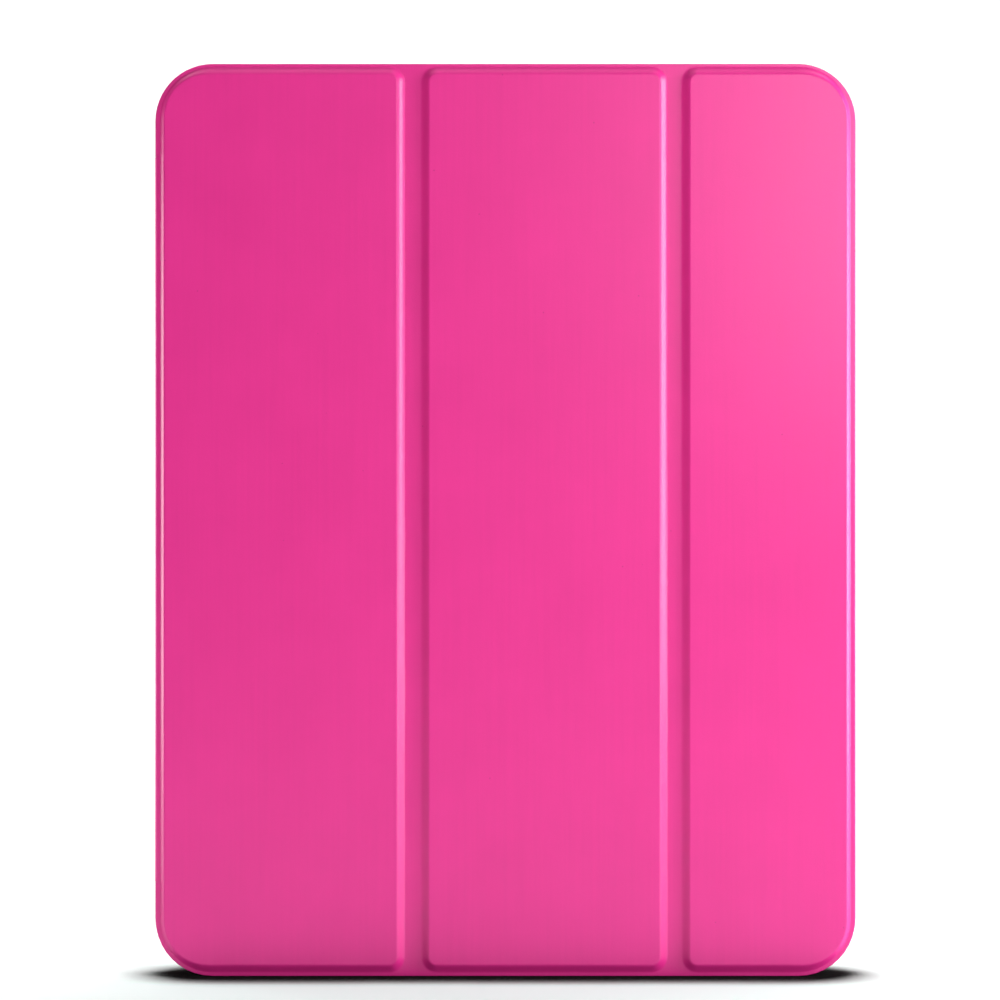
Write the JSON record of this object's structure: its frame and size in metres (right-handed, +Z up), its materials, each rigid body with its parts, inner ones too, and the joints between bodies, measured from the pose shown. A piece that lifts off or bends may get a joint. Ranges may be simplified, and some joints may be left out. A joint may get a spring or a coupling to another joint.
{
  "type": "tablet case",
  "caption": "Folio case for a large tablet: a moulded tray whose synthetic leather cover, of stiff panels hinged at a spine, folds behind it into a stand.",
  "frame": {"origin": "middle of the footprint of the closed case standing on its short bottom edge", "axes": "+X to the right seen from the cover, away from the spine; +Y from the cover to the back; +Z up along the case's height"},
  "size_m": [0.219, 0.0122, 0.285],
  "materials": {
    "shell": "fine matte moulded",
    "leather": "smooth synthetic leather, satin",
    "lining": "microfibre",
    "board": "pressed board",
    "magnet": "nickel plated",
    "key": "fine matte moulded"
  },
  "bodies": {
    "tray": {"back_shell": "shell", "back_lining": "lining", "back_flap_skin": "leather"},
    "spine": {"spine_skin": "leather", "spine_board": "board", "spine_lining": "lining"},
    "panel_1": {"panel_1_skin": "leather", "panel_1_board": "board", "panel_1_lining": "lining", "stand_magnets": "magnet"},
    "panel_2": {"panel_2_skin": "leather", "panel_2_board": "board", "panel_2_lining": "lining"},
    "panel_3": {"panel_3_skin": "leather", "panel_3_board": "board", "panel_3_lining": "lining", "closing_magnets": "magnet", "wake_magnet": "magnet"},
    "volume_up": {"volume_up_key": "key"},
    "volume_down": {"volume_down_key": "key"},
    "power": {"power_key": "key"}
  },
  "joints": [
    {"name": "spine_hinge", "type": "hinge", "parent": "tray", "child": "spine", "pos_m": [-0.1095, 0.00615, 0.1425], "axis": [0, 0, -1], "range_deg": [0, 178]},
    {"name": "cover_hinge", "type": "hinge", "parent": "spine", "child": "panel_1", "pos_m": [-0.1095, -0.00465, 0.1425], "axis": [0, 0, -1], "range_deg": [0, 120]},
    {"name": "fold_1", "type": "hinge", "parent": "panel_1", "child": "panel_2", "pos_m": [-0.0288, -0.00465, 0.1425], "axis": [0, 0, -1], "range_deg": [0, 138]},
    {"name": "fold_2", "type": "hinge", "parent": "panel_2", "child": "panel_3", "pos_m": [0.0528, -0.00465, 0.1425], "axis": [0, 0, -1], "range_deg": [0, 112]},
    {"name": "volume_up_press", "type": "slide", "parent": "tray", "child": "volume_up", "axis": [-1, 0, 0], "range_m": [0, 0.0004], "stiffness_N_per_m": 1500},
    {"name": "volume_down_press", "type": "slide", "parent": "tray", "child": "volume_down", "axis": [-1, 0, 0], "range_m": [0, 0.0004], "stiffness_N_per_m": 1500},
    {"name": "power_press", "type": "slide", "parent": "tray", "child": "power", "axis": [0, 0, -1], "range_m": [0, 0.0004], "stiffness_N_per_m": 1500}
  ]
}
